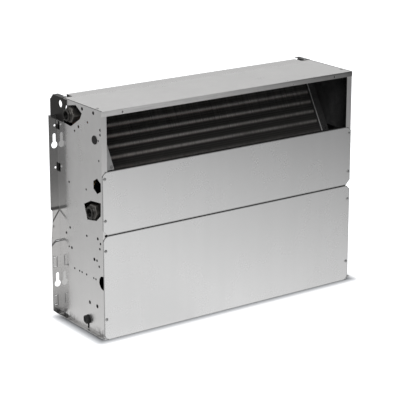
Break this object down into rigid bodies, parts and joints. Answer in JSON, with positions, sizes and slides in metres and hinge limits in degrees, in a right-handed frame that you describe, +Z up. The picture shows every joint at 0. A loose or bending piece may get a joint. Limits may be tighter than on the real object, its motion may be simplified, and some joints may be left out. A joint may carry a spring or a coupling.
{
  "type": "fan coil unit",
  "caption": "Uncased wall fan coil unit: a tilted water coil over two centrifugal fans in a folded zinc-coated case with front outlet and bottom filter.",
  "frame": {"origin": "on the floor plane, under the middle of the overall box", "axes": "+X to the right along the case, +Y from the front towards the wall, +Z up"},
  "size_m": [0.756, 0.22, 0.532],
  "materials": {
    "galvanised_case": "spangled zinc sheet, soft sheen",
    "galvanised_front": "flat zinc sheet",
    "dark_bracket": "dark sheet steel",
    "coil_fin": "dark coated fins",
    "coil_plate": "zinc sheet",
    "copper": "dull copper",
    "union_metal": "dull brass",
    "valve_metal": "brass",
    "zinc_screw": "zinc plated",
    "fan_plastic": "black moulded",
    "scroll_sheet": "zinc sheet",
    "motor_paint": "dark painted",
    "shaft_steel": "ground steel",
    "black_rubber": "black rubber",
    "black_foam": "closed-cell foam",
    "capacitor_plastic": "white plastic",
    "filter_frame_metal": "folded aluminium",
    "filter_cloth": "filter net",
    "box_plastic": "dark grey plastic",
    "strip_plastic": "ivory plastic"
  },
  "bodies": {
    "case": {"base_rail_front": "scroll_sheet", "base_rail_rear": "scroll_sheet", "cable_gland": "box_plastic", "capacitor": "capacitor_plastic", "capacitor_clip": "zinc_screw", "coil_baffle": "coil_plate", "coil_fins": "coil_fin", "coil_screws": "zinc_screw", "coil_tubes": "copper", "condensate_tray": "coil_plate", "cover_screws": "zinc_screw", "drain_spigot": "fan_plastic", "drain_valve": "valve_metal", "fan_deck": "scroll_sheet", "filter_guide_left": "scroll_sheet", "filter_guide_right": "scroll_sheet", "foam_rear": "black_foam", "foam_right": "black_foam", "foam_strip": "black_foam", "front_panel_lower": "galvanised_front", "front_panel_upper": "galvanised_front", "hanger_bracket_left": "dark_bracket", "hanger_bracket_right": "dark_bracket", "header_front": "copper", "header_rear": "copper", "lower_panel_screws": "zinc_screw", "motor_body": "motor_paint", "motor_cradle": "scroll_sheet", "motor_rings": "black_rubber", "rear_panel": "galvanised_case", "return_bends": "copper", "return_pipe": "copper", "scroll_left": "scroll_sheet", "scroll_right": "scroll_sheet", "side_bung": "black_rubber", "side_grommet": "black_rubber", "side_panel_left": "galvanised_case", "side_panel_right": "galvanised_case", "supply_pipe": "copper", "terminal_box": "box_plastic", "terminal_cover": "box_plastic", "terminal_strip": "strip_plastic", "top_panel": "galvanised_case", "top_screws": "zinc_screw", "tube_sheet_left": "coil_plate", "tube_sheet_right": "coil_plate", "union_return": "union_metal", "union_supply": "union_metal", "upper_panel_screws": "zinc_screw", "vent_valve": "valve_metal"},
    "fan_rotor": {"motor_shaft": "shaft_steel", "impeller_left": "fan_plastic", "impeller_right": "fan_plastic"},
    "filter": {"filter_frame": "filter_frame_metal", "filter_mesh": "filter_cloth"},
    "vent_key": {"vent_screw": "valve_metal"},
    "drain_key": {"drain_screw": "valve_metal"}
  },
  "joints": [
    {"name": "fan_spin", "type": "hinge", "parent": "case", "child": "fan_rotor", "pos_m": [0.024, -0.024, 0.14], "axis": [1, 0, 0], "continuous": true},
    {"name": "filter_slide", "type": "slide", "parent": "case", "child": "filter", "axis": [0, 0, -1], "range_m": [0, 0.03]},
    {"name": "vent_turn", "type": "hinge", "parent": "case", "child": "vent_key", "pos_m": [-0.299, 0.04668, 0.48599], "axis": [0, 0.5, 0.866], "range_deg": [0, 360]},
    {"name": "drain_turn", "type": "hinge", "parent": "case", "child": "drain_key", "pos_m": [-0.319, -0.00857, 0.3463], "axis": [0, -0.5, -0.866], "range_deg": [0, 360]}
  ]
}
